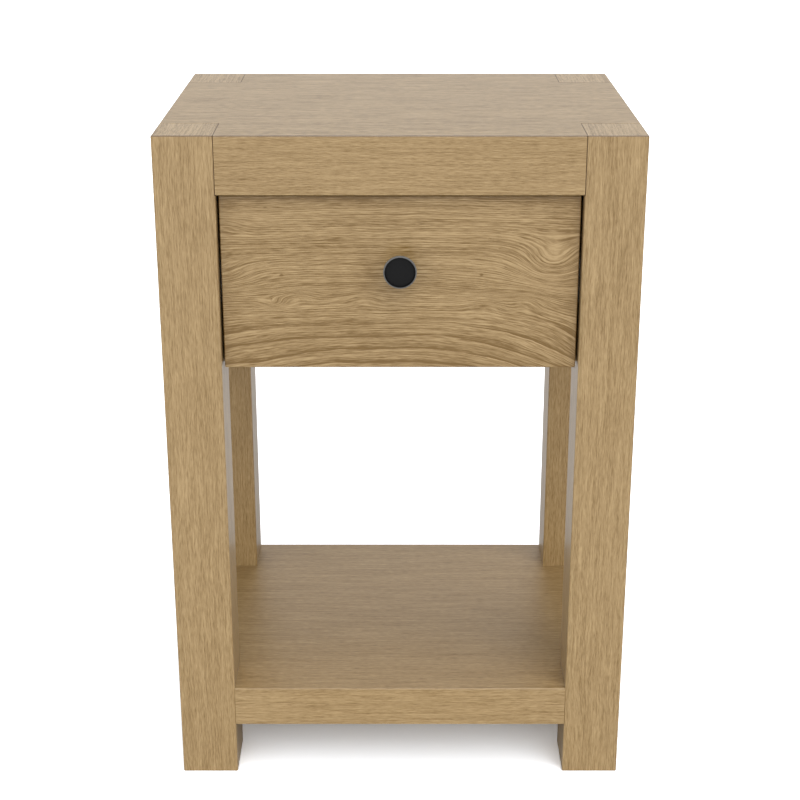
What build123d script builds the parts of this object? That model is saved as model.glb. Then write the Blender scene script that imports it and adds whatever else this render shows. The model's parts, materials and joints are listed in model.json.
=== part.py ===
from build123d import *
import os

# A nightstand with one drawer over an open shelf, in millimetres.
# +X is to the right, +Y to the back and +Z up. The origin is on the floor, under the middle of the
# whole object's box, knob included. The front faces -Y.

# Driving dimensions -------------------------------------------------------------------------------
WIDTH = 480.0
DEPTH = 350.0  # over the legs
HEIGHT = 715.0
LEG = 60.0  # side of a square leg
BOARD = 18.0  # thickness of the top, the shelf and their rails
TOP_BAND = 59.0  # height of the rails under the top edge
SHELF_TOP = 105.0
SHELF_BAND = 45.0  # height of the rails round the shelf
CASE_FLOOR = 475.0  # underside of the drawer compartment
EASE = 0.8  # bevel along every arris that a hand meets
INSET = 8.0  # how far panels and the drawer front stand back from the legs

BACK_BOARD = 12.0
BACK_GROOVE = 6.0  # how far the back panel enters the legs
BOTTOM_BOARD = 6.0
CLEAT_HEIGHT = 80.0

DRAWER_GAP = 2.3  # beside the drawer front
DRAWER_TOP_GAP = 2.0
BOX_BOARD = 12.0
BOX_DEPTH = 285.0
BOX_BOTTOM = 490.0
BOX_HEIGHT = 140.0
BOX_FLOOR = 5.0  # thickness of the drawer bottom
BOX_GROOVE = 5.0  # depth of the groove that holds it
BOX_GROOVE_RISE = 10.0

KNOB_HEIGHT = 582.5
KNOB_RADIUS = 16.5
KNOB_REACH = 24.0  # from the drawer front to the rim
KNOB_STEM = 6.0
KNOB_FLARE = 9.0  # height of the stem below the flare
KNOB_EDGE = 3.0  # height of the rim's straight edge
KNOB_BEVEL = 0.5
KNOB_DISH = 2.8
KNOB_DISH_SLOPE = 0.8  # how far the dish's wall leans in
KNOB_RIM = 1.4

SLIDE_WIDTH = 12.7  # from the case runner's back to the drawer runner's back
SLIDE_LENGTH = 250.0
SLIDE_HEIGHT = 560.0
SLIDE_SETBACK = 4.0  # from the back of the drawer front to a runner's end
GAUGE = 1.2  # steel thickness of a runner
BALL = 2.0  # radius of a ball
RUNNING = 0.1  # clearance on each side of a ball
CAGE_GAUGE = 0.6
CAGE_LENGTH = 120.0
BALL_PITCH = 20.0
BALLS_IN_ROW = 6

DOWEL = 4.0  # radius
DOWEL_HALF = 15.0
BOLT = 3.0  # radius of a cam bolt
BOLT_IN_LEG = 11.0
CAM = 7.5  # radius of a cam lock
CAM_DEPTH = 12.5
CAM_REACH = 24.0  # from a rail's end to the cam's centre
CAM_GAP = 0.2
FIT = 0.05  # clearance round a fastener
PILOT = 0.5  # room past a fastener's tip
LOW_DOWEL = 8.0  # above a rail's lower edge
HIGH_DOWEL = 32.0
BOLT_RISE = 18.0
PANEL_DOWEL_INSET = 30.0  # from a side panel's top and bottom

# Places worked out from them ----------------------------------------------------------------------
FRONT = -DEPTH / 2 + (KNOB_REACH - INSET) / 2  # y of the legs' front faces
BACK = FRONT + DEPTH
MIDDLE = (FRONT + BACK) / 2
SIDE = WIDTH / 2
INNER = SIDE - LEG  # x of the legs' inner faces
FRONT_INNER = FRONT + LEG
BACK_INNER = BACK - LEG
CASE_TOP = HEIGHT - TOP_BAND
SHELF_BOTTOM = SHELF_TOP - SHELF_BAND
BACK_FACE = BACK - INSET - BACK_BOARD  # y of the back panel's inner face
PANEL_FACE = SIDE - INSET - BOARD  # x of a side panel's inner face
FACE = FRONT + INSET  # y of the drawer front's face
BOX_FRONT = FACE + BOARD
BOX_BACK = BOX_FRONT + BOX_DEPTH
BOX_SIDE = INNER - SLIDE_WIDTH
BOX_TOP = BOX_BOTTOM + BOX_HEIGHT
SLIDE_START = BOX_FRONT + SLIDE_SETBACK
SLIDE_SPAN = (SLIDE_START, SLIDE_START + SLIDE_LENGTH)
SIDES = {"left": -1, "right": 1}
STANDING = (Align.CENTER, Align.CENTER, Align.MIN)

os.makedirs("parts", exist_ok=True)


def save(builder, label):
    """Names a finished piece and writes it."""
    builder.part.label = label
    export_step(builder.part, f"parts/{label}.step")


def block(xs, ys, zs, mode=Mode.ADD):
    """A box between two x, two y and two z limits, in the part being built."""
    limits = [sorted(pair) for pair in (xs, ys, zs)]
    with Locations(tuple(sum(pair) / 2 for pair in limits)):
        Box(*[high - low for low, high in limits], mode=mode)


def rod(point, direction, radius, behind, ahead, mode=Mode.ADD):
    """A cylinder through a point, reaching behind it and ahead of it along a direction."""
    start = Vector(*point) - Vector(*direction) * behind
    with Locations(Plane(start, z_dir=direction)):
        Cylinder(radius, behind + ahead, align=STANDING, mode=mode)


# Joints between the rails and the legs ------------------------------------------------------------
# Each rail end has dowels and one cam bolt, which lie in the middle of the rail's thickness.
RAIL_ENDS = [
    (side * INNER, y, (side, 0, 0)) for side in (-1, 1) for y in (FRONT + BOARD / 2, BACK - BOARD / 2)
] + [
    (side * (SIDE - BOARD / 2), y, (0, away, 0))
    for side in (-1, 1)
    for y, away in ((FRONT_INNER, -1), (BACK_INNER, 1))
]
DOWEL_HEIGHTS = (CASE_TOP + LOW_DOWEL, CASE_TOP + HIGH_DOWEL, SHELF_BOTTOM + LOW_DOWEL)
BOLT_HEIGHTS = (CASE_TOP + BOLT_RISE, SHELF_BOTTOM + BOLT_RISE)
DOWELS = [((x, y, z), away) for x, y, away in RAIL_ENDS for z in DOWEL_HEIGHTS]
BOLTS = [((x, y, z), away) for x, y, away in RAIL_ENDS for z in BOLT_HEIGHTS]


def cam_mouth(point, away):
    """The middle of a cam lock's mouth, on the rail's inner face, and the way that it faces."""
    x, y, z = point
    if away[0]:
        inside = Vector(0, 1 if y < MIDDLE else -1, 0)
    else:
        inside = Vector(-1 if x > 0 else 1, 0, 0)
    mouth = Vector(x, y, z) - Vector(*away) * CAM_REACH + inside * (BOARD / 2)
    return tuple(mouth), tuple(inside)


CAMS = [cam_mouth(point, away) for point, away in BOLTS]

# The side panels have two dowels at each end.
PANEL_MIDDLE = SIDE - INSET - BOARD / 2
PANEL_DOWELS = [
    ((side * PANEL_MIDDLE, y, z), (0, away, 0))
    for side in (-1, 1)
    for y, away in ((FRONT_INNER, -1), (BACK_INNER, 1))
    for z in (CASE_FLOOR + PANEL_DOWEL_INSET, CASE_TOP - PANEL_DOWEL_INSET)
]


def dowel_holes():
    """The holes for every dowel, cut from the part being built."""
    for point, away in DOWELS + PANEL_DOWELS:
        depth = DOWEL_HALF + PILOT
        rod(point, away, DOWEL + FIT, depth, depth, mode=Mode.SUBTRACT)


def bolt_holes():
    """The holes for every cam bolt, cut from the part being built."""
    for point, away in BOLTS:
        rod(point, away, BOLT + FIT, CAM_REACH, BOLT_IN_LEG + PILOT, mode=Mode.SUBTRACT)


# Screws -------------------------------------------------------------------------------------------
# A screw is its head's seat, the way it points, its shank's radius and length, and its head's
# radius and height. A pan head stands on the seat, and a sunk head lies below it. Each head has a
# cross for the driver.
CROSS_WIDTH = 0.9
CROSS_DEPTH = 0.9


def driver_cross(top, way, length):
    """The cross in a screw's head, cut from the part being built."""
    with Locations(Plane(top, z_dir=way)):
        for turn in (0, 90):
            Box(length, CROSS_WIDTH, 2 * CROSS_DEPTH, rotation=(0, 0, turn), mode=Mode.SUBTRACT)


def pan_screws(places, shank, length, head, rise, room=0.0, mode=Mode.ADD):
    """Screws with a low round head that stands on the surface."""
    for seat, way in places:
        tip_room = PILOT if room else 0.0
        rod(seat, way, shank + room, 0.0, length + tip_room, mode)
        if mode == Mode.ADD:
            rod(seat, way, head, rise, 0.0)
            driver_cross(Vector(*seat) - Vector(*way) * rise, way, head)


def sunk_screws(places, shank, length, head, room=0.0, mode=Mode.ADD):
    """Screws with a conical head, flush with the surface."""
    depth = head - shank
    for seat, way in places:
        tip_room = PILOT if room else 0.0
        rod(seat, way, shank + room, 0.0, length + tip_room, mode)
        with Locations(Plane(seat, z_dir=way)):
            Cone(head + room, shank + room, depth, align=STANDING, mode=mode)
        if mode == Mode.ADD:
            driver_cross(seat, way, head)


CLEAT_SCREW = {"shank": 2.0, "length": 45.0, "head": 4.0}
CLEAT_SCREW_INSET = 30.0  # from the legs
CLEAT_SCREW_SPREAD = 32.0  # above and below the slide
CLEAT_SCREWS = [
    ((side * INNER, y, SLIDE_HEIGHT + rise), (side, 0, 0))
    for side in (-1, 1)
    for y in (FRONT_INNER + CLEAT_SCREW_INSET, BACK_INNER - CLEAT_SCREW_INSET)
    for rise in (-CLEAT_SCREW_SPREAD, CLEAT_SCREW_SPREAD)
]
RUNNER_SCREW = {"shank": 1.75, "length": 14.0, "head": 3.5, "rise": 1.4}
RUNNER_SCREW_STEPS = (15.0, 125.0, 235.0)  # from a slide's front end
CASE_RUNNER_SCREWS = [
    ((side * (INNER - GAUGE), SLIDE_START + step, SLIDE_HEIGHT), (side, 0, 0))
    for side in (-1, 1)
    for step in RUNNER_SCREW_STEPS
]
SHORT_SCREW = {"shank": 1.75, "length": 11.0, "head": 3.5, "rise": 1.4}
DRAWER_RUNNER_SCREWS = [
    ((side * (BOX_SIDE + GAUGE), SLIDE_START + step, SLIDE_HEIGHT), (-side, 0, 0))
    for side in (-1, 1)
    for step in RUNNER_SCREW_STEPS
]
BOX_SCREW = {"shank": 1.75, "length": 35.0, "head": 3.5}
BOX_SCREW_RISE = 28.0  # above the box's lower edge
BOX_SCREW_DROP = 22.0  # below its upper edge
BOX_SCREWS = [
    ((side * BOX_SIDE, y, z), (-side, 0, 0))
    for side in (-1, 1)
    for y in (BOX_FRONT + BOX_BOARD / 2, BOX_BACK - BOX_BOARD / 2)
    for z in (BOX_BOTTOM + BOX_SCREW_RISE, BOX_TOP - BOX_SCREW_DROP)
]
FRONT_SCREW = {"shank": 2.0, "length": 26.0, "head": 4.0, "rise": 2.0}
FRONT_SCREW_SIDE = 125.0  # from the middle of the front
FRONT_SCREW_RISE = 35.0
FRONT_SCREW_DROP = 25.0
FRONT_SCREWS = [
    ((x, BOX_FRONT + BOX_BOARD, z), (0, -1, 0))
    for x in (-FRONT_SCREW_SIDE, FRONT_SCREW_SIDE)
    for z in (BOX_BOTTOM + FRONT_SCREW_RISE, BOX_TOP - FRONT_SCREW_DROP)
]
KNOB_SCREW = {"shank": 2.0, "length": 40.0, "head": 4.0, "rise": 2.2}
KNOB_SCREWS = [((0, BOX_FRONT + BOX_BOARD, KNOB_HEIGHT), (0, -1, 0))]


# Legs ---------------------------------------------------------------------------------------------
# Each leg is one square post from the floor to the top surface. The back legs are grooved for the
# back panel.
for row, near, far in (("front", FRONT, FRONT_INNER), ("back", BACK_INNER, BACK)):
    for hand, side in SIDES.items():
        with BuildPart() as leg:
            block((side * INNER, side * SIDE), (near, far), (0, HEIGHT))
            chamfer(leg.edges(), EASE)
            dowel_holes()
            bolt_holes()
            pan_screws(CASE_RUNNER_SCREWS, **RUNNER_SCREW, room=FIT, mode=Mode.SUBTRACT)
            if row == "back":
                groove = (side * INNER, side * (INNER + BACK_GROOVE))
                block(groove, (BACK_FACE, BACK_FACE + BACK_BOARD), (CASE_FLOOR, CASE_TOP), Mode.SUBTRACT)
        save(leg, f"{row}_{hand}_leg")


# Top and shelf ------------------------------------------------------------------------------------
# Both are a board with mitred edges over four rails, notched round the legs at their corners. The
# arris of the mitre is bevelled, half on the board and half on the rail.


def board_section(middle, half, top):
    """Half of a board's section, from its underside to its arris, and the other half mirrored."""
    half_section = [(half - BOARD, top - BOARD), (half - EASE / 2, top - EASE / 2), (half - EASE, top)]
    return [(middle + h, z) for h, z in half_section] + [(middle - h, z) for h, z in reversed(half_section)]


def rail_section(outer, inward, bottom, top):
    """A rail's section, from its outer face inward."""
    points = [
        (EASE, bottom),
        (BOARD, bottom),
        (BOARD, top - BOARD),
        (EASE / 2, top - EASE / 2),
        (0, top - EASE),
        (0, bottom + EASE),
    ]
    return [(outer + inward * h, z) for h, z in points]


def prism(plane, points, length):
    """A closed outline on a plane, pushed along the plane's normal, as a part of its own."""
    with BuildPart() as solid:
        with BuildSketch(plane):
            with BuildLine():
                Polyline(*points, close=True)
            make_face()
        extrude(amount=length)
    return solid.part


ALONG_X = Plane.YZ.offset(-INNER)  # its outlines are (y, z), and run from leg to leg
ALONG_Y = Plane.XZ.offset(-BACK_INNER)  # its outlines are (x, z), and run from back to front
SPAN_X = 2 * INNER
SPAN_Y = BACK_INNER - FRONT_INNER

for label, top in (("top_panel", HEIGHT), ("shelf_panel", SHELF_TOP)):
    across = prism(ALONG_X, board_section(MIDDLE, DEPTH / 2, top), SPAN_X)
    deep = prism(ALONG_Y, board_section(0, SIDE, top), SPAN_Y)
    with BuildPart() as panel:
        add(across)
        add(deep)
    save(panel, label)

for level, bottom, top in (("", CASE_TOP, HEIGHT), ("shelf_", SHELF_BOTTOM, SHELF_TOP)):
    for place, plane, outer, inward, length in (
        ("front", ALONG_X, FRONT, 1, SPAN_X),
        ("back", ALONG_X, BACK, -1, SPAN_X),
        ("left", ALONG_Y, -SIDE, 1, SPAN_Y),
        ("right", ALONG_Y, SIDE, -1, SPAN_Y),
    ):
        solid = prism(plane, rail_section(outer, inward, bottom, top), length)
        with BuildPart() as rail:
            add(solid)
            dowel_holes()
            bolt_holes()
            for mouth, inside in CAMS:
                rod(mouth, inside, CAM + FIT, CAM_DEPTH, 0.0, mode=Mode.SUBTRACT)
        save(rail, f"{level}{place}_rail")


# Fasteners of the frame ---------------------------------------------------------------------------
with BuildPart() as dowels:
    for point, away in DOWELS:
        rod(point, away, DOWEL, DOWEL_HALF, DOWEL_HALF)
save(dowels, "rail_dowels")

with BuildPart() as dowels:
    for point, away in PANEL_DOWELS:
        rod(point, away, DOWEL, DOWEL_HALF, DOWEL_HALF)
save(dowels, "panel_dowels")

with BuildPart() as bolts:
    for point, away in BOLTS:
        rod(point, away, BOLT, CAM_REACH - CAM - CAM_GAP, BOLT_IN_LEG)
save(bolts, "cam_bolts")

# A cam lock is a disc with a cross for the driver in its face.
CAM_SLOT = 1.6
CAM_SLOT_LENGTH = 1.3 * CAM
CAM_SLOT_DEPTH = 1.5
with BuildPart() as cams:
    for mouth, inside in CAMS:
        rod(mouth, inside, CAM, CAM_DEPTH - CAM_GAP, -CAM_GAP)
        with Locations(Plane(Vector(*mouth) - Vector(*inside) * CAM_GAP, z_dir=inside)):
            for turn in (45, 135):
                Box(CAM_SLOT_LENGTH, CAM_SLOT, 2 * CAM_SLOT_DEPTH, rotation=(0, 0, turn), mode=Mode.SUBTRACT)
save(cams, "cam_locks")


# Drawer compartment -------------------------------------------------------------------------------
REBATE = 6.0  # how far the bottom panel enters the side panels
BOTTOM_GAP = 1.0  # between the bottom panel and the drawer front
for hand, side in SIDES.items():
    with BuildPart() as panel:
        faces = (side * PANEL_FACE, side * (PANEL_FACE + BOARD))
        block(faces, (FRONT_INNER, BACK_INNER), (CASE_FLOOR, CASE_TOP))
        rebate = (side * PANEL_FACE, side * (PANEL_FACE + REBATE))
        block(rebate, (FRONT_INNER, BACK_INNER), (CASE_FLOOR, CASE_FLOOR + BOTTOM_BOARD), Mode.SUBTRACT)
        dowel_holes()
        sunk_screws(CLEAT_SCREWS, **CLEAT_SCREW, room=FIT, mode=Mode.SUBTRACT)
    save(panel, f"{hand}_side_panel")

    with BuildPart() as cleat:
        zs = (SLIDE_HEIGHT - CLEAT_HEIGHT / 2, SLIDE_HEIGHT + CLEAT_HEIGHT / 2)
        block((side * INNER, side * PANEL_FACE), (FRONT_INNER, BACK_INNER), zs)
        sunk_screws(CLEAT_SCREWS, **CLEAT_SCREW, room=FIT, mode=Mode.SUBTRACT)
        pan_screws(CASE_RUNNER_SCREWS, **RUNNER_SCREW, room=FIT, mode=Mode.SUBTRACT)
    save(cleat, f"{hand}_runner_cleat")

with BuildPart() as back_panel:
    reach = INNER + BACK_GROOVE
    block((-reach, reach), (BACK_FACE, BACK_FACE + BACK_BOARD), (CASE_FLOOR, CASE_TOP))
save(back_panel, "back_panel")

with BuildPart() as bottom_panel:
    zs = (CASE_FLOOR, CASE_FLOOR + BOTTOM_BOARD)
    reach = PANEL_FACE + REBATE
    block((-INNER, INNER), (BOX_FRONT + BOTTOM_GAP, BACK_FACE), zs)
    block((-reach, reach), (FRONT_INNER, BACK_INNER), zs)
save(bottom_panel, "bottom_panel")

with BuildPart() as screws:
    sunk_screws(CLEAT_SCREWS, **CLEAT_SCREW)
save(screws, "cleat_screws")

with BuildPart() as screws:
    pan_screws(CASE_RUNNER_SCREWS, **RUNNER_SCREW)
save(screws, "case_runner_screws")


# Slides -------------------------------------------------------------------------------------------
# Each slide is three nested steel channels, with a ball cage in each of the two gaps. A channel's
# place across the slide is counted from the leg's inner face towards the drawer.
OUTER_HALF = 22.5  # half the height of the case runner
MIDDLE_HALF = OUTER_HALF - GAUGE - 2 * (BALL + RUNNING)
DRAWER_HALF = MIDDLE_HALF - GAUGE - 2 * (BALL + RUNNING)
OUTER_ROW = MIDDLE_HALF + BALL + RUNNING  # height of the outer balls from the slide's middle
INNER_ROW = DRAWER_HALF + BALL + RUNNING
LIP = 1.5


def channel(side, web, edge, half, gauge, ys):
    """A channel with its web at one place across the slide and its two flanges reaching to another."""
    direction = 1 if edge > web else -1

    def xs(start, end):
        return (side * (INNER - start), side * (INNER - end))

    block(xs(web, web + direction * gauge), ys, (SLIDE_HEIGHT - half, SLIDE_HEIGHT + half))
    for up in (-1, 1):
        flange = (SLIDE_HEIGHT + up * (half - gauge), SLIDE_HEIGHT + up * half)
        block(xs(web, edge), ys, flange)


def cage(side, web, edge, row, ball_place, ys):
    """A ball cage: a thin channel with a hole for each ball, and the balls in their rows."""
    middle = sum(ys) / 2
    steps = [(n - (BALLS_IN_ROW - 1) / 2) * BALL_PITCH for n in range(BALLS_IN_ROW)]
    x = side * (INNER - ball_place)
    places = [(x, middle + step, SLIDE_HEIGHT + up * row) for up in (-1, 1) for step in steps]
    with BuildPart() as strip:
        channel(side, web, edge, row + CAGE_GAUGE / 2, CAGE_GAUGE, ys)
        for x, y, z in places:
            rod((x, y, z), (0, 0, 1), BALL + FIT, CAGE_GAUGE, CAGE_GAUGE, mode=Mode.SUBTRACT)
    with BuildPart() as balls:
        with Locations(*places):
            Sphere(BALL)
    return strip, balls


CAGE_START = SLIDE_START + SLIDE_LENGTH / 4 + (SLIDE_LENGTH / 2 - CAGE_LENGTH) / 2
CAGE_SPAN = (CAGE_START, CAGE_START + CAGE_LENGTH)
CASE_EDGE = 11.0  # how far the case runner's flanges reach
OUTER_CAGE = (3.2, 9.4)
MIDDLE_RUNNER = (4.4, 10.4)
INNER_CAGE = (6.2, 11.3)
DRAWER_EDGE = 7.4  # how far back the drawer runner's flanges reach
OUTER_BALLS = 6.9
INNER_BALLS = 8.9
ACCESS_ROOM = 1.0  # round a screw's head, where a driver reaches it through the middle runner

for hand, side in SIDES.items():
    with BuildPart() as runner:
        channel(side, 0.0, CASE_EDGE, OUTER_HALF, GAUGE, SLIDE_SPAN)
        lip = (side * (INNER - CASE_EDGE), side * (INNER - CASE_EDGE + GAUGE))
        for up in (-1, 1):
            inner_face = OUTER_HALF - GAUGE
            lip_zs = (SLIDE_HEIGHT + up * inner_face, SLIDE_HEIGHT + up * (inner_face - LIP))
            block(lip, SLIDE_SPAN, lip_zs)
        pan_screws(CASE_RUNNER_SCREWS, **RUNNER_SCREW, room=FIT, mode=Mode.SUBTRACT)
    save(runner, f"{hand}_case_runner")

    with BuildPart() as runner:
        channel(side, *MIDDLE_RUNNER, MIDDLE_HALF, GAUGE, SLIDE_SPAN)
        # Holes to reach the case runner's screws through.
        for (x, y, z), way in CASE_RUNNER_SCREWS:
            if x * side > 0:
                rod((x, y, z), way, RUNNER_SCREW["head"] + ACCESS_ROOM, SLIDE_WIDTH, 0.0, mode=Mode.SUBTRACT)
    save(runner, f"{hand}_middle_runner")

    with BuildPart() as runner:
        channel(side, SLIDE_WIDTH, DRAWER_EDGE, DRAWER_HALF, GAUGE, SLIDE_SPAN)
        pan_screws(DRAWER_RUNNER_SCREWS, **SHORT_SCREW, room=FIT, mode=Mode.SUBTRACT)
    save(runner, f"{hand}_drawer_runner")

    outer_cage, outer_balls = cage(side, *OUTER_CAGE, OUTER_ROW, OUTER_BALLS, CAGE_SPAN)
    save(outer_cage, f"{hand}_outer_cage")
    save(outer_balls, f"{hand}_outer_balls")
    inner_cage, inner_balls = cage(side, *INNER_CAGE, INNER_ROW, INNER_BALLS, CAGE_SPAN)
    save(inner_cage, f"{hand}_inner_cage")
    save(inner_balls, f"{hand}_inner_balls")


# Drawer -------------------------------------------------------------------------------------------
with BuildPart() as drawer_front:
    reach = INNER - DRAWER_GAP
    block((-reach, reach), (FACE, BOX_FRONT), (CASE_FLOOR, CASE_TOP - DRAWER_TOP_GAP))
    chamfer(drawer_front.edges(), EASE)
    pan_screws(FRONT_SCREWS, **FRONT_SCREW, room=FIT, mode=Mode.SUBTRACT)
    rod((0, FACE, KNOB_HEIGHT), (0, 1, 0), KNOB_SCREW["shank"] + FIT, 0.0, BOARD, mode=Mode.SUBTRACT)
save(drawer_front, "drawer_front")

# The box: two long sides, with the front and the back between them, and a bottom in a groove.
BOX_INNER = BOX_SIDE - BOX_BOARD
FLOOR_ZS = (BOX_BOTTOM + BOX_GROOVE_RISE, BOX_BOTTOM + BOX_GROOVE_RISE + BOX_FLOOR)
FLOOR_XS = (-BOX_INNER - BOX_GROOVE, BOX_INNER + BOX_GROOVE)
FLOOR_YS = (BOX_FRONT + BOX_BOARD - BOX_GROOVE, BOX_BACK - BOX_BOARD + BOX_GROOVE)
BOX_ZS = (BOX_BOTTOM, BOX_TOP)

for hand, side in SIDES.items():
    with BuildPart() as box_side:
        block((side * BOX_INNER, side * BOX_SIDE), (BOX_FRONT, BOX_BACK), BOX_ZS)
        block(FLOOR_XS, FLOOR_YS, FLOOR_ZS, Mode.SUBTRACT)
        sunk_screws(BOX_SCREWS, **BOX_SCREW, room=FIT, mode=Mode.SUBTRACT)
        pan_screws(DRAWER_RUNNER_SCREWS, **SHORT_SCREW, room=FIT, mode=Mode.SUBTRACT)
    save(box_side, f"drawer_{hand}_side")

for place, near in (("box_front", BOX_FRONT), ("back", BOX_BACK - BOX_BOARD)):
    with BuildPart() as box_end:
        block((-BOX_INNER, BOX_INNER), (near, near + BOX_BOARD), BOX_ZS)
        block(FLOOR_XS, FLOOR_YS, FLOOR_ZS, Mode.SUBTRACT)
        sunk_screws(BOX_SCREWS, **BOX_SCREW, room=FIT, mode=Mode.SUBTRACT)
        if place == "box_front":
            pan_screws(FRONT_SCREWS, **FRONT_SCREW, room=FIT, mode=Mode.SUBTRACT)
            pan_screws(KNOB_SCREWS, **KNOB_SCREW, room=FIT, mode=Mode.SUBTRACT)
    save(box_end, f"drawer_{place}")

with BuildPart() as drawer_bottom:
    block(FLOOR_XS, FLOOR_YS, FLOOR_ZS)
save(drawer_bottom, "drawer_bottom")

for label, places, size, make in (
    ("drawer_front_screws", FRONT_SCREWS, FRONT_SCREW, pan_screws),
    ("drawer_runner_screws", DRAWER_RUNNER_SCREWS, SHORT_SCREW, pan_screws),
    ("drawer_box_screws", BOX_SCREWS, BOX_SCREW, sunk_screws),
    ("knob_screw", KNOB_SCREWS, KNOB_SCREW, pan_screws),
):
    with BuildPart() as screws:
        make(places, **size)
    save(screws, label)

# The knob: a short stem that flares to a flat rim round a shallow dish. Its outline is half of its
# section, with x as the radius and y towards the drawer.
RIM_FACE = FACE - KNOB_REACH
DISH_FACE = RIM_FACE + KNOB_DISH
DISH_EDGE = KNOB_RADIUS - KNOB_RIM  # radius of the dish's mouth
with BuildPart() as knob:
    with BuildSketch(Plane.XY.offset(KNOB_HEIGHT)):
        with BuildLine():
            stem = Line((0, FACE), (KNOB_STEM, FACE))
            neck = Line(stem @ 1, (KNOB_STEM, FACE - KNOB_FLARE))
            flare = TangentArc(neck @ 1, (KNOB_RADIUS, RIM_FACE + KNOB_EDGE), tangent=neck % 1)
            edge = Line(flare @ 1, (KNOB_RADIUS, RIM_FACE + KNOB_BEVEL))
            corner = Line(edge @ 1, (KNOB_RADIUS - KNOB_BEVEL, RIM_FACE))
            rim = Line(corner @ 1, (DISH_EDGE, RIM_FACE))
            wall = Line(rim @ 1, (DISH_EDGE - KNOB_DISH_SLOPE, DISH_FACE))
            dish = Line(wall @ 1, (0, DISH_FACE))
            Line(dish @ 1, stem @ 0)
        make_face()
    revolve(axis=Axis((0, 0, KNOB_HEIGHT), (0, 1, 0)))
    bore = KNOB_SCREW["length"] - BOARD - BOX_BOARD + PILOT
    rod((0, FACE, KNOB_HEIGHT), (0, -1, 0), KNOB_SCREW["shank"] + FIT, 0.0, bore, mode=Mode.SUBTRACT)
save(knob, "knob")
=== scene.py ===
# %% [markdown]
# # A one-drawer oak nightstand
# The joiner's work is already done: boards, legs, slides and screws come in as a fixed frame, each in
# its own place. What is left is how they look. Most of this lesson is about oak, because a plain
# square piece of furniture is only as good as its wood. The rest is lacquer, plated steel, a black
# knob, and a quiet white studio.

import json
import math

import bpy
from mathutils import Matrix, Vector


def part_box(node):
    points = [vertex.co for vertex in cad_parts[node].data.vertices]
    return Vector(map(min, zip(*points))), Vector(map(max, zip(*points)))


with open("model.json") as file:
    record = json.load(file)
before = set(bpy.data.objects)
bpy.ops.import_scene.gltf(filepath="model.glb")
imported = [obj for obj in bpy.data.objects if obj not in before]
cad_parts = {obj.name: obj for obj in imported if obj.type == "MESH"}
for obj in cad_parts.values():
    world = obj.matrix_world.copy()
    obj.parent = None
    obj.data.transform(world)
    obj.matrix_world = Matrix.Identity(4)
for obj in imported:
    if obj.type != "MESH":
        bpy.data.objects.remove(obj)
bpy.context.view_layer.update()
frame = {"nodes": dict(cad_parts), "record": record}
nodes = frame["nodes"]
print("pieces in the frame:", len(nodes))

# %% [markdown]
# ## Shader maths that reads like Python
# A wood is a formula: distances, waves and noise, added and multiplied. Wiring that by hand takes
# dozens of boxes, so a small class wraps one socket and lets Python's own operators add the Math
# nodes. Every other kind of node comes from one method, `node`, which first sets what the node is
# and then feeds its sockets. A Math node would turn a colour grey, so colours always go through Mix.


# %% One socket with operators
class Field:
    """A number or a colour that changes over a surface: one output socket of a finish."""

    def __init__(self, finish, socket):
        self.finish = finish
        self.socket = socket

    def math(self, operation, first, second=0.0):
        return self.finish.node("ShaderNodeMath", {"operation": operation}, {0: first, 1: second})

    def __add__(self, other):
        return self.math("ADD", self, other)

    def __radd__(self, other):
        return self.math("ADD", other, self)

    def __sub__(self, other):
        return self.math("SUBTRACT", self, other)

    def __rsub__(self, other):
        return self.math("SUBTRACT", other, self)

    def __mul__(self, other):
        return self.math("MULTIPLY", self, other)

    def __rmul__(self, other):
        return self.math("MULTIPLY", other, self)

    def __truediv__(self, other):
        return self.math("DIVIDE", self, other)

    def __rtruediv__(self, other):
        return self.math("DIVIDE", other, self)

    def __pow__(self, other):
        return self.math("POWER", self, other)

    def __rpow__(self, other):
        return self.math("POWER", other, self)

    def __abs__(self):
        return self.math("ABSOLUTE", self)

    def most(self, other):
        return self.math("MAXIMUM", self, other)

    def pick(self, low, high):
        """The first value where this field is 0, the second where it is 1."""
        return low + self * (high - low)

    def fraction(self):
        return self.math("FRACT", self)

    def sine(self):
        return self.math("SINE", self)

    def rise(self, low, high):
        """0 below low, 1 above high, and a soft step between them."""
        ends = {"Value": self, "From Min": low, "From Max": high}
        return self.finish.node("ShaderNodeMapRange", {"interpolation_type": "SMOOTHSTEP"}, ends)

    def near(self, value, width):
        """1 at a value, falling softly to 0 at a width either side of it."""
        return 1.0 - abs(self - value).rise(0.0, width)


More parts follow.
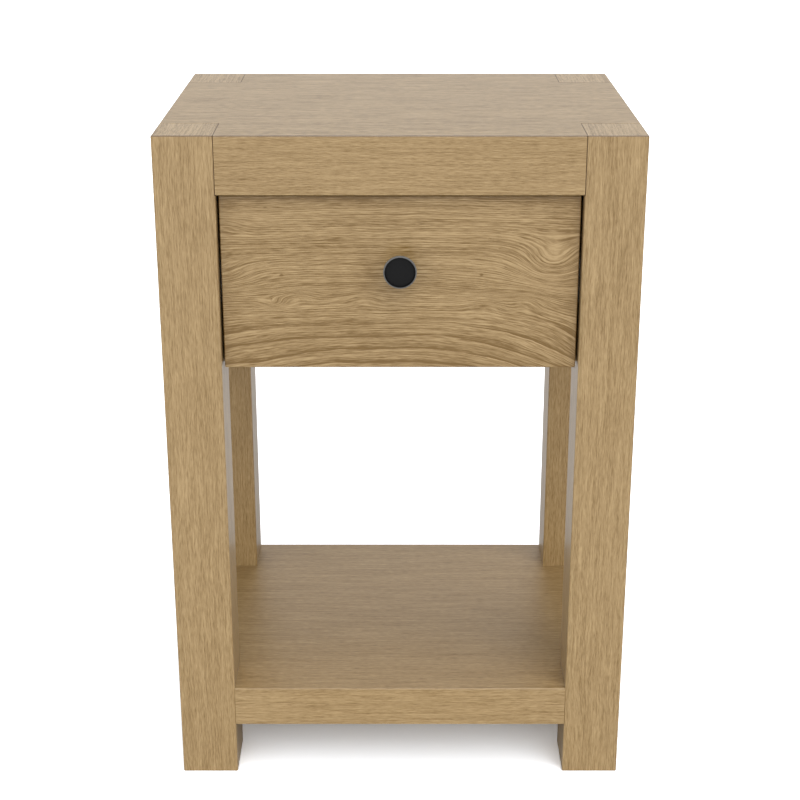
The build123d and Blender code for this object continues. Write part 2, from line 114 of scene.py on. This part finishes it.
class Finish:
    """A material being mixed: its nodes, and the shader that they end in."""

    def __init__(self, name):
        self.material = bpy.data.materials.new(name)
        self.material.use_nodes = True
        self.tree = self.material.node_tree
        self.shader = self.tree.nodes["Principled BSDF"]

    def feed(self, socket, value):
        """Links a field to a socket, or sets a plain value on it."""
        if isinstance(value, Field):
            self.tree.links.new(value.socket, socket)
        else:
            socket.default_value = value

    def node(self, kind, settings=None, inputs=None, output=0):
        """Adds a node, sets what it is, feeds its sockets and gives back one of its outputs."""
        made = self.tree.nodes.new(kind)
        for name, value in (settings or {}).items():
            setattr(made, name, value)
        for name, value in (inputs or {}).items():
            self.feed(made.inputs[name], value)
        return Field(self, made.outputs[output])

    def mix(self, factor, low, high):
        """One colour turning into another as the factor goes from 0 to 1."""
        return self.node("ShaderNodeMix", {"data_type": "RGBA"}, {0: factor, 6: low, 7: high}, 2)

    def split(self, vector):
        """The three numbers in a vector, by letter."""
        made = self.node("ShaderNodeSeparateXYZ", inputs={0: vector}).socket.node
        return {letter: Field(self, made.outputs[letter]) for letter in "XYZ"}

    def place(self):
        """Where a point is on the object, in metres."""
        return self.split(self.node("ShaderNodeTexCoord", output="Object"))

    def slopes(self):
        """How far the surface faces along each axis: 1 for a face square to it, 0 for one along it."""
        normal = self.node("ShaderNodeNewGeometry", output="Normal")
        return self.split(self.node("ShaderNodeVectorMath", {"operation": "ABSOLUTE"}, {0: normal}))

    def noise(self, x, y, z, detail=2.0, roughness=0.5):
        """Soft noise round zero, mostly within a quarter each way. The fields are in cycles."""
        point = self.node("ShaderNodeCombineXYZ", inputs={0: x, 1: y, 2: z})
        sockets = {"Vector": point, "Scale": 1.0, "Detail": detail, "Roughness": roughness}
        return self.node("ShaderNodeTexNoise", inputs=sockets) - 0.5

    def bump(self, height, depth, strength=1.0):
        """Raises the surface by a field of heights, each unit worth so many metres."""
        sockets = {"Strength": strength, "Distance": depth, "Height": height}
        self.feed(self.shader.inputs["Normal"], self.node("ShaderNodeBump", inputs=sockets))

    def surface(self, **values):
        """Feeds the shader's own sockets: base_color goes to Base Color."""
        for name, value in values.items():
            title = name.replace("_", " ").title().replace("Ior", "IOR")
            self.feed(self.shader.inputs[title], value)
        return self.material


print("shader helpers:", Field.__name__, "and", Finish.__name__)

# %% [markdown]
# ## The grain of a board
# Oak shows growth rings, hair-fine fibres and open pores, and all three run along the board and bend
# together. So the board gets a coordinate of its own, the flow: it counts across the grain, and it is
# pushed about by slow noise, and every layer is drawn on it. Then rings, fibres and pores can't
# cross each other. The field is solid, so a ring that leaves the face comes out on the edge and the end.
# Each board starts at another place in the log, because no two boards are alike.

# %% The joints between boards
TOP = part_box("top_panel")[1].z
RAIL_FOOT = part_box("front_rail")[0].z
LEG_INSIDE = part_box("front_right_leg")[0].x
FRONT_LEG_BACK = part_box("front_left_leg")[1].y
BACK_LEG_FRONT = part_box("back_left_leg")[0].y
EASED = 0.0012


def joint_lines(finish, place, slopes):
    """1 on the eased edges round the top and where a rail meets a leg, 0 elsewhere: where a dark line is
    painted, partly lacquer in the seam and partly painted shade in the groove.
    """
    square = slopes["X"].most(slopes["Y"]).most(slopes["Z"])
    eased = 1.0 - square.rise(0.8, 0.95)
    at_top = place["Z"].rise(TOP - 1.2 * EASED, TOP - 0.9 * EASED)
    beside_leg = abs(place["X"]).near(LEG_INSIDE, EASED).most(place["Y"].near(FRONT_LEG_BACK, EASED))
    beside_leg = beside_leg.most(place["Y"].near(BACK_LEG_FRONT, EASED))
    in_rails = place["Z"].rise(RAIL_FOOT - 0.001, RAIL_FOOT)
    return eased * at_top.most(beside_leg.rise(0.0, 0.2) * in_rails)


print("rails meet the legs", round(1000 * LEG_INSIDE), "mm from the middle")


print("rails hang down to", round(RAIL_FOOT, 3), "and the top lies at", round(TOP, 3))

# %% [markdown]
# ## Oak veneer under matt lacquer
# Five layers make the wood: broad tones a few centimetres wide, growth bands of about half a
# centimetre, lines of a millimetre or two, fibres finer than that, and pores, which are short dark
# dashes in the bands. All of them only make one number, how dark the wood is, and a single mix turns
# that into colour, because oak darkens from straw to brown without changing its hue much. The lacquer
# is a thin clear coat: from the front it hardly shows, and a face seen at a low angle turns paler.

# %% Oak
OAK_PALE = (0.395, 0.27, 0.124, 1.0)
OAK_DEEP = (0.145, 0.075, 0.008, 1.0)
# The dark joint line: partly lacquer, partly painted shade in the groove.
SEAM_LACQUER_AND_SHADE = (0.06, 0.027, 0.01, 1.0)
WOOD_DARKNESS = 0.37
LOG_STEP = Vector((0.731, 0.413, 0.259))

# How many times each layer changes in a metre: along, across and through the board.
SWAY = (2.5, 9.0, 9.0)
WAVER = (18.0, 60.0, 60.0)
BROAD_TONES = (3.0, 45.0, 45.0)
GROWTH_BANDS = (8.0, 170.0, 90.0)
LINES = (18.0, 560.0, 420.0)
FIBRES = (110.0, 1300.0, 1300.0)
PORES = (130.0, 950.0, 950.0)

# How much each layer darkens the wood, and how far it stands up or sinks in.
DARKENS = {"broad": 0.17, "band": 0.22, "line": 1.15, "fibre": 1.55, "pore": 0.25}
RELIEF = 0.00025


def along_across_through(place, axes, seed):
    """A board's own directions in metres, shifted to another place in the log for each seed."""
    return [place[letter] + seed * step for letter, step in zip(axes, LOG_STEP)]


def grain(finish, fields, rates, detail=2.0, roughness=0.5):
    """Noise with its own rate along each of a board's three directions."""
    point = [field * rate for field, rate in zip(fields, rates)]
    return finish.noise(*point, detail=detail, roughness=roughness)


def oak(name, axes, seed, tone=0.0, bold=1.0, wander=0.012, streak=1.0, figure=None):
    """Lacquered oak for one board. The three letters say what runs along, across and through it,
    tone and bold how dark and how marked it is, and streak how much longer its lines are."""
    finish = Finish(name)
    place = finish.place()
    slopes = finish.slopes()
    along, across, through = along_across_through(place, axes, seed)
    if axes[0] == "Z":
        capped = slopes["Z"].rise(0.8, 0.95)
        along, through = capped.pick(along, through), capped.pick(through, along)
        bold = bold * (1.0 + 0.9 * capped)

    sway = grain(finish, (along, across, through), SWAY, detail=1.0)
    waver = grain(finish, (along, across, through), WAVER)
    flow = across + 0.3 * through + wander * sway + 0.004 * waver
    figure_and_shade = 0.0
    # A figure bends the flow and adds darkness; the drawer front's includes painted shade and shadow.
    if figure:
        flow, figure_and_shade = figure(finish, place, flow)

    fields = (along, flow, through)
    long_lines = (LINES[0] / streak, *LINES[1:])
    long_fibres = (FIBRES[0] / streak, *FIBRES[1:])
    broad = grain(finish, fields, BROAD_TONES, detail=1.0)
    band = grain(finish, fields, GROWTH_BANDS, detail=1.0)
    line = grain(finish, fields, long_lines, detail=3.0, roughness=0.6)
    fibre = grain(finish, fields, long_fibres, detail=2.0, roughness=0.6)
    pore = grain(finish, fields, PORES, detail=1.0).rise(0.17, 0.27) * band.rise(-0.12, 0.12)

    layers = {"broad": broad, "band": band, "line": line, "fibre": fibre, "pore": pore}
    layers = sum(share * layers[layer] for layer, share in DARKENS.items())
    dark = WOOD_DARKNESS + tone + figure_and_shade + bold * layers
    wood = finish.mix(dark, OAK_PALE, OAK_DEEP)
    # A dark line in the joints: partly lacquer, partly painted shade in the groove between eased edges.
    wood = finish.mix(0.9 * joint_lines(finish, place, slopes), wood, SEAM_LACQUER_AND_SHADE)

    finish.bump(line + 0.6 * fibre - 0.8 * pore, RELIEF, 0.5)
    roughness = 0.44 + 0.2 * line
    return finish.surface(base_color=wood, roughness=roughness, coat_weight=0.5, coat_roughness=0.3)


print("oak goes from", OAK_PALE[:3], "to", OAK_DEEP[:3])

# %% [markdown]
# ## Which way each board runs
# A joiner lays the grain along the length of every piece: upright in the legs, from side to side in
# the top, the shelf and the front, and from front to back in the side rails. The end of a leg is
# capped with veneer that runs from front to back, so on that face two of the directions change places.
# The number is how much darker or lighter a board is than the rest of the batch.

# %% The oak boards
BOARDS = {
    "top_panel": ("XYZ", 0.1),
    "shelf_panel": ("XYZ", 0.08),
    "front_rail": ("XZY", 0.06),
    "back_rail": ("XZY", 0.03),
    "shelf_front_rail": ("XZY", -0.03),
    "shelf_back_rail": ("XZY", 0.0),
    "back_panel": ("XZY", 0.04),
    "left_rail": ("YZX", 0.02),
    "right_rail": ("YZX", -0.02),
    "shelf_left_rail": ("YZX", 0.0),
    "shelf_right_rail": ("YZX", 0.02),
    "left_side_panel": ("YZX", 0.03),
    "right_side_panel": ("YZX", 0.05),
    "front_left_leg": ("ZXY", 0.0),
    "front_right_leg": ("ZXY", 0.0),
    "back_left_leg": ("ZXY", 0.03),
    "back_right_leg": ("ZXY", 0.0),
}


def dress(node, material):
    """Gives a piece of the frame its finish."""
    slots = nodes[node].data.materials
    slots.clear()
    slots.append(material)


for seed, (node, (axes, tone)) in enumerate(BOARDS.items()):
    bold = 2.1 if node == "top_panel" else 1.0
    dress(node, oak(f"oak_{node}", axes, seed + 1, tone, bold))
print("oak boards:", len(BOARDS))

# %% [markdown]
# ## The drawer front
# This is the board that shows, so the joiner picks a figured one. Its lines arch up in the middle,
# more towards the foot of the board, and they flow round a few small knots. Each knot is a smooth
# hill added to the flow, so the lines part and close round it like water round a stone. The lowest
# growth rings are bold. The top edge is darker, partly grain and partly painted shade under the rail;
# both ends get painted shade where the legs shade the recessed front, and a patch left of the knob is
# a painted shadow of the knob.

# %% Arches, knots and bold rings
FRONT_LOW, FRONT_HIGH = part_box("drawer_front")
FRONT_TALL = FRONT_HIGH.z - FRONT_LOW.z
FRONT_HALF = FRONT_HIGH.x
KNOB_UP = (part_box("knob")[0].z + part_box("knob")[1].z) / 2 - FRONT_LOW.z
KNOTS = (
    # across, above the foot, how far it pushes the lines, half length, half height
    (0.150, 0.108, 0.0200, 0.032, 0.0240),
    (0.128, 0.072, -0.0090, 0.020, 0.0120),
    (0.088, 0.068, -0.0060, 0.020, 0.0100),
    (-0.127, 0.068, 0.0060, 0.013, 0.0060),
    (-0.100, 0.076, -0.0040, 0.018, 0.0080),
    (-0.037, 0.074, -0.0060, 0.020, 0.0100),
    (-0.182, 0.096, 0.0130, 0.040, 0.0180),
    (-0.176, 0.150, -0.0060, 0.022, 0.0100),
)
PIN_KNOTS = ((-0.118, 0.098), (0.081, 0.098))
RING_GAP = 0.0135
STRIPE_GAP = 0.0023
RING_DARK = 1.05
STRIPE_DARK = 0.16
# Painted shade: under the rail along the top, beside each leg at the ends, and the knob's shadow.
TOP_GRAIN_AND_SHADE = 0.3
RIGHT_END_SHADE = 0.3
LEFT_END_SHADE = 0.25
KNOB_SHADOW_DARK = 0.32
PLAIN_PALE = 0.15
FRONT_TONE = 0.11


def hill(x, height, across, above, half_length, half_height):
    """1 at a place on the front, falling away smoothly like a rounded hill."""
    lengthwise = (x - across) / half_length
    upward = (height - above) / half_height
    return math.e ** (0.0 - (lengthwise * lengthwise + upward * upward))


def drawer_figure_and_shade(finish, place, flow):
    """Bends the flow into arches round the knots, and gives the extra darkness of the rings, with painted
    shade under the rail and beside the legs and a painted shadow of the knob.
    """
    x = place["X"]
    height = place["Z"] - FRONT_LOW.z
    foot = 1.0 - height.rise(0.0, 0.07)
    lower_half = 1.0 - height.rise(0.08, 0.15)
    right_half = x.rise(-0.03, 0.06)
    flow = flow + x * x * (0.12 + 0.48 * foot + right_half * lower_half * (0.4 + 0.3 * foot))
    for across, above, push, half_length, half_height in KNOTS:
        flow = flow + push * hill(x, height, across, above, half_length, half_height)

    uneven = finish.noise(x * 12.0, flow * 50.0, 7.0)
    low_down = 1.0 - height.rise(0.028, 0.06)
    ring = (flow / RING_GAP + 0.9 * uneven).fraction()
    rings = (1.0 - ring) ** 5.0 * low_down * (0.9 + 1.6 * uneven)
    stripe = (flow * (2.0 * math.pi / STRIPE_GAP) + 8.0 * uneven).sine() * (1.0 - 0.6 * low_down)
    wavy = height + 0.006 * finish.noise(x * 25.0, 3.0, 0.0)
    # Darker along the top edge: partly grain, partly painted shade under the front rail.
    top_grain_and_shade = wavy.rise(FRONT_TALL - 0.013, FRONT_TALL - 0.003)
    # Painted shade at both ends, where the legs shade the recessed front.
    right_end_shade = x.rise(FRONT_HALF - 0.03, FRONT_HALF + 0.01)
    left_end_shade = (0.0 - x).rise(FRONT_HALF - 0.03, FRONT_HALF + 0.02)
    # A painted shadow of the knob, to its left and a little below.
    knob_shadow = hill(x, height, -0.030, KNOB_UP - 0.008, 0.013, 0.012)
    plain = hill(x, height, 0.155, 0.118, 0.02, 0.012)

    dark = FRONT_TONE + RING_DARK * rings + STRIPE_DARK * stripe + TOP_GRAIN_AND_SHADE * top_grain_and_shade
    dark = dark + RIGHT_END_SHADE * right_end_shade + LEFT_END_SHADE * left_end_shade
    dark = dark + KNOB_SHADOW_DARK * knob_shadow - PLAIN_PALE * plain
    for across, above in PIN_KNOTS:
        dark = dark + 0.9 * hill(x, height, across, above, 0.0016, 0.0011)
    return flow, dark


drawer_oak = oak("oak_drawer_front", "XZY", 31, bold=1.45, wander=0.006, streak=1.6, figure=drawer_figure_and_shade)
dress("drawer_front", drawer_oak)
print("drawer front:", round(2000 * FRONT_HALF), "mm wide, knots:", len(KNOTS) + len(PIN_KNOTS))

# %% [markdown]
# ## The boards inside
# Nobody pays for oak where it doesn't show, so the drawer box and the panel under it are birch
# plywood: a pale face with a soft grain, and on every edge the thin cross-laid sheets in light and
# dark stripes. The finish finds the edges from the way the surface faces, so one material serves the
# face and the edge, and the stripes stop exactly at the corner.

# %% Birch plywood
PLY_SHEET = 0.0028
BIRCH_PALE = (0.56, 0.42, 0.25, 1.0)
BIRCH_WARM = (0.40, 0.265, 0.135, 1.0)
PLY_GLUE = (0.17, 0.095, 0.045, 1.0)
PLY_BOARDS = {
    "bottom_panel": "XYZ",
    "drawer_bottom": "XYZ",
    "drawer_left_side": "YZX",
    "drawer_right_side": "YZX",
    "drawer_box_front": "XZY",
    "drawer_back": "XZY",
}


def plywood(name, axes, seed):
    """Birch plywood, with its sheets lying through the board's third direction."""
    finish = Finish(name)
    place = finish.place()
    along, across, through = along_across_through(place, axes, seed)
    flow = across + 0.03 * finish.noise(along * 1.6, across * 5.0, 0.0, detail=1.0)
    broad = finish.noise(along * 4.0, flow * 25.0, through * 25.0)
    line = finish.noise(along * 14.0, flow * 330.0, through * 330.0, detail=3.0, roughness=0.6)
    fleck = finish.noise(along * 190.0, flow * 1100.0, through * 1100.0, detail=1.0)
    face = finish.mix(0.35 + 0.9 * broad + 1.3 * line + 0.7 * fleck, BIRCH_PALE, BIRCH_WARM)

    sheet = (place[axes[2]] / PLY_SHEET + 0.06 * line).fraction()
    crosswise = (place[axes[2]] / (2.0 * PLY_SHEET)).fraction().rise(0.48, 0.52)
    edge_grain = 0.25 + 0.5 * crosswise + 0.8 * fleck
    edge = finish.mix(edge_grain, BIRCH_PALE, BIRCH_WARM)
    edge = finish.mix(0.8 * sheet.near(0.5, 0.12), edge, PLY_GLUE)
    facing = finish.slopes()[axes[2]].rise(0.6, 0.8)
    wood = finish.mix(facing, edge, face)

    finish.bump(line + 0.5 * fleck - (1.0 - facing) * crosswise, 0.0002, 0.4)
    roughness = 0.46 + 0.2 * line
    return finish.surface(base_color=wood, roughness=roughness, coat_weight=0.3, coat_roughness=0.35)


for seed, (node, axes) in enumerate(PLY_BOARDS.items()):
    dress(node, plywood(f"birch_ply_{node}", axes, seed + 1))
print("plywood boards:", len(PLY_BOARDS))

# %% [markdown]
# ## Battens and dowels
# The runners are screwed to sawn spruce battens. Spruce has hard, dark, evenly spaced rings in soft
# pale wood, and a saw leaves fine scratches across it. The dowels are beech, pinkish and covered
# with tiny dark flecks. Both are bare wood, so they have no clear coat.

# %% Spruce and beech
SPRUCE_PALE = (0.66, 0.52, 0.31, 1.0)
SPRUCE_RING = (0.42, 0.25, 0.10, 1.0)
BEECH_PALE = (0.50, 0.32, 0.19, 1.0)
BEECH_FLECK = (0.24, 0.125, 0.062, 1.0)
SPRUCE_RING_GAP = 0.0035


def sawn_spruce():
    finish = Finish("sawn_spruce")
    along, across, through = along_across_through(finish.place(), "YZX", 3)
    flow = across + 0.8 * through + 0.004 * finish.noise(along * 4.0, across * 20.0, through * 20.0)
    ring = (flow / SPRUCE_RING_GAP).fraction() ** 4.0
    fibre = finish.noise(along * 60.0, flow * 900.0, through * 900.0, detail=3.0)
    saw = finish.noise(along * 1500.0, across * 60.0, through * 60.0, detail=1.0)
    wood = finish.mix(0.15 + 0.75 * ring + 0.9 * fibre, SPRUCE_PALE, SPRUCE_RING)
    finish.bump(saw + fibre, 0.0003, 0.6)
    return finish.surface(base_color=wood, roughness=0.72 + 0.2 * fibre)


def turned_beech():
    finish = Finish("turned_beech")
    place = finish.place()
    grain = finish.noise(place["X"] * 200.0, place["Y"] * 200.0, place["Z"] * 200.0, detail=3.0)
    fleck = finish.noise(place["X"] * 700.0, place["Y"] * 700.0, place["Z"] * 900.0, detail=1.0)
    wood = finish.mix(0.25 + 0.8 * grain + fleck.rise(0.1, 0.25), BEECH_PALE, BEECH_FLECK)
    finish.bump(grain + fleck, 0.0002, 0.4)
    return finish.surface(base_color=wood, roughness=0.6 + 0.2 * grain)


# %% [markdown]
# ## The knob
# The knob is turned metal with a matt black powder coat. Powder melts into a skin with a very fine
# orange peel, so the black is almost flat, but a bump of a few hundredths of a millimetre breaks the
# light up. It reflects little, because the coat is rough all the way down. A narrow ring round the
# rim is painted grey, a painted highlight for the light caught by its rounded edge, found from its
# distance to the knob's own centre.

# %% Black powder coat
POWDER_BLACK = (0.0045, 0.0045, 0.0048, 1.0)
POWDER_GREY = (0.0085, 0.0085, 0.009, 1.0)
RIM_HIGHLIGHT_GREY = (0.13, 0.127, 0.122, 1.0)
PEEL_PER_METRE = 1400.0
KNOB_LOW, KNOB_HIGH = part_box("knob")
KNOB_RADIUS = (KNOB_HIGH.x - KNOB_LOW.x) / 2
RIM = 0.0013


def powder_coat():
    finish = Finish("black_powder_coat")
    place = finish.place()
    across = place["X"] - (KNOB_LOW.x + KNOB_HIGH.x) / 2
    up = place["Z"] - (KNOB_LOW.z + KNOB_HIGH.z) / 2
    radius = (across * across + up * up) ** 0.5
    peel = finish.noise(*(place[letter] * PEEL_PER_METRE for letter in "XYZ"), detail=1.0)
    dust = finish.noise(*(place[letter] * 6.0 * PEEL_PER_METRE for letter in "XYZ"), detail=1.0)
    black = finish.mix(dust.rise(-0.1, 0.25), POWDER_BLACK, POWDER_GREY)
    # A painted highlight: the narrow ring round the rim is painted grey.
    rim_highlight = (radius + 0.0002 * peel).rise(KNOB_RADIUS - RIM, KNOB_RADIUS - 0.7 * RIM)
    black = finish.mix(rim_highlight, black, RIM_HIGHLIGHT_GREY)
    finish.bump(peel + 0.3 * dust, 0.00006, 0.5)
    return finish.surface(base_color=black, specular_ior_level=0.15, roughness=0.52 + 0.25 * peel)


# %% [markdown]
# ## Steel
# The slides are rolled zinc-plated steel: bluish and bright, with faint marks along the way it was
# rolled and cloudy patches where the plating is duller. The balls in them are polished, and the wood
# screws have a black phosphate skin, which is oily and a little uneven.

# %% Zinc, bright and blackened steel
ZINC_BLUE = (0.56, 0.59, 0.63, 1.0)
ZINC_WARM = (0.62, 0.61, 0.57, 1.0)
BALL_LIGHT = (0.70, 0.71, 0.72, 1.0)
BALL_DARK = (0.55, 0.56, 0.58, 1.0)
PHOSPHATE = (0.018, 0.018, 0.019, 1.0)
PHOSPHATE_DUSTY = (0.05, 0.048, 0.045, 1.0)


def zinc_steel():
    finish = Finish("zinc_steel")
    place = finish.place()
    x, y, z = [place[letter] for letter in "XYZ"]
    cloud = finish.noise(x * 110.0, y * 45.0, z * 110.0)
    rolled = finish.noise(x * 2200.0, y * 25.0, z * 2200.0, detail=3.0)
    zinc = finish.mix(cloud.rise(-0.2, 0.2), ZINC_BLUE, ZINC_WARM)
    finish.bump(rolled, 0.00005, 0.4)
    return finish.surface(base_color=zinc, metallic=1.0, roughness=0.33 + 0.25 * cloud + 0.2 * rolled)


def bright_steel():
    finish = Finish("bright_steel")
    place = finish.place()
    oil = finish.noise(*(place[letter] * 500.0 for letter in "XYZ"))
    steel = finish.mix(oil.rise(-0.2, 0.2), BALL_LIGHT, BALL_DARK)
    return finish.surface(base_color=steel, metallic=1.0, roughness=0.14 + 0.15 * oil)


def black_steel():
    finish = Finish("black_phosphate")
    place = finish.place()
    skin = finish.noise(*(place[letter] * 900.0 for letter in "XYZ"), detail=3.0)
    steel = finish.mix(skin.rise(0.0, 0.3), PHOSPHATE, PHOSPHATE_DUSTY)
    finish.bump(skin, 0.00008, 0.5)
    return finish.surface(base_color=steel, metallic=0.6, roughness=0.45 + 0.3 * skin)


FINISHES = {
    "spruce_batten": sawn_spruce(),
    "beech_dowel": turned_beech(),
    "black_knob": powder_coat(),
    "zinc_steel": zinc_steel(),
    "bright_steel": bright_steel(),
    "black_steel": black_steel(),
}
for part in frame["record"]["subparts"]:
    if part["material_slot"] in FINISHES:
        dress(part["node"], FINISHES[part["material_slot"]])

bare = [name for name, piece in nodes.items() if not piece.data.materials[0].use_nodes]
print("finishes:", len(bpy.data.materials), "pieces without one:", bare)

# %% [markdown]
# ## A white studio
# A shop shows furniture on a white sweep, bright enough to vanish, while the shadow under the
# piece stays. One white paint can't do both: a floor bright enough to vanish would light the piece
# from below and wash it out. So the floor and the sky each have two values, one that is seen and a
# darker one that is felt by everything they light. Only the stage does this, never the furniture.

# %% Floor
FLOOR_SEEN = (1.5, 1.53, 1.58, 1.0)
FLOOR_FELT = (0.62, 0.62, 0.62, 1.0)
FLOOR_SIZE = 30.0


def white_floor():
    finish = Finish("floor_white")
    seen = finish.node("ShaderNodeLightPath", output="Is Camera Ray")
    colour = finish.mix(seen, FLOOR_FELT, FLOOR_SEEN)
    return finish.surface(base_color=colour, roughness=0.95, specular_ior_level=0.0)


bpy.ops.mesh.primitive_plane_add(size=FLOOR_SIZE)
floor = bpy.context.object
floor.name = "floor"
floor.data.materials.append(white_floor())
print("floor:", FLOOR_SIZE, "m across")

# %% [markdown]
# ## The sky round it
# The sky that lights the piece is bright near the horizon, like the white walls of a studio, and dim
# overhead, so that upright faces come out as light as the level ones.

# %% Sky
SKY_SEEN = 1.1
SKY_LOW = 0.85
SKY_HIGH = 0.27
SKY_TURNS = (0.15, 0.65)  # how high the change starts and ends, from 0 at the horizon to 1 overhead

world = bpy.data.worlds.new("studio")
bpy.context.scene.world = world
world.use_nodes = True
sky = world.node_tree
background = sky.nodes["Background"]
background.inputs["Color"].default_value = (1.0, 1.0, 1.0, 1.0)


def sky_node(kind, settings, inputs, output=0):
    """Adds a node to the sky, sets it and links it, and gives back one of its outputs."""
    made = sky.nodes.new(kind)
    for name, value in settings.items():
        setattr(made, name, value)
    for name, value in inputs.items():
        if isinstance(value, bpy.types.NodeSocket):
            sky.links.new(value, made.inputs[name])
        else:
            made.inputs[name].default_value = value
    return made.outputs[output]


direction = sky_node("ShaderNodeTexCoord", {}, {})
up = sky_node("ShaderNodeSeparateXYZ", {}, {0: direction}, "Z")
steps = {"Value": up, "From Min": SKY_TURNS[0], "From Max": SKY_TURNS[1]}
steps.update({"To Min": SKY_LOW, "To Max": SKY_HIGH})
felt = sky_node("ShaderNodeMapRange", {"interpolation_type": "SMOOTHSTEP"}, steps)
seen = sky_node("ShaderNodeLightPath", {}, {}, "Is Camera Ray")
strength = sky_node("ShaderNodeMapRange", {}, {"Value": seen, "To Min": felt, "To Max": SKY_SEEN})
sky.links.new(strength, background.inputs["Strength"])
print("sky nodes:", len(sky.nodes))

# %% [markdown]
# ## Five soft lights
# Soft boxes near the piece would light one leg more than the other. Lights that are far away fall
# evenly, and how wide each one looks from the piece says how soft its shadow is: a broad key from the
# front right, a broad low fill from the left, and narrower ones overhead and behind. The faintest,
# low behind, stands for the lit backdrop, which the lacquer of the shelf mirrors.

# %% Lights


def far_light(name, turn, height, spread, strength):
    """A far light. Its angles are in degrees: right of the front, up from the floor, and how wide."""
    angle = math.radians(turn)
    rise = math.radians(height)
    light = bpy.data.lights.new(name, "SUN")
    light.angle = math.radians(spread)
    light.energy = strength * math.pi
    lamp = bpy.data.objects.new(name, light)
    away = Vector((math.sin(angle) * math.cos(rise), -math.cos(angle) * math.cos(rise), math.sin(rise)))
    lamp.rotation_euler = away.to_track_quat("Z", "Y").to_euler()
    lamp.location = away * 3.0
    bpy.context.scene.collection.objects.link(lamp)


far_light("key_light", 25.0, 42.0, 60.0, 0.62)
far_light("fill_light", -30.0, 13.0, 70.0, 0.34)
far_light("top_light", 5.0, 81.0, 18.0, 0.2)
far_light("back_light", 178.0, 66.0, 24.0, 0.24)
far_light("backdrop_light", 178.0, 38.0, 34.0, 0.04)
bpy.context.scene.view_settings.view_transform = "Standard"
print("lights:", len(bpy.data.lights))

# %% [markdown]
# ## The camera
# Furniture is shown from the front, with the eye above the top so that the top and the shelf
# both show their surface. A long lens keeps the legs from leaning in too much. A small lens shift
# downwards lets the camera tilt a little less, which also helps to keep them straight.

# %% Camera
leg_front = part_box("front_left_leg")[0].y
LENS = 71.5
SHIFT = -0.06
PITCH = math.radians(19.63)
DISTANCE = 1.507
EYE = 1.032

camera_data = bpy.data.cameras.new("camera")
camera_data.sensor_width = 36.0
camera_data.lens = LENS
camera_data.shift_y = SHIFT
camera = bpy.data.objects.new("camera", camera_data)
camera.location = (0.0, leg_front - DISTANCE, EYE)
camera.rotation_euler = (math.radians(90) - PITCH, 0.0, 0.0)
bpy.context.scene.collection.objects.link(camera)
bpy.context.scene.camera = camera
print("camera:", [round(part, 3) for part in camera.location])
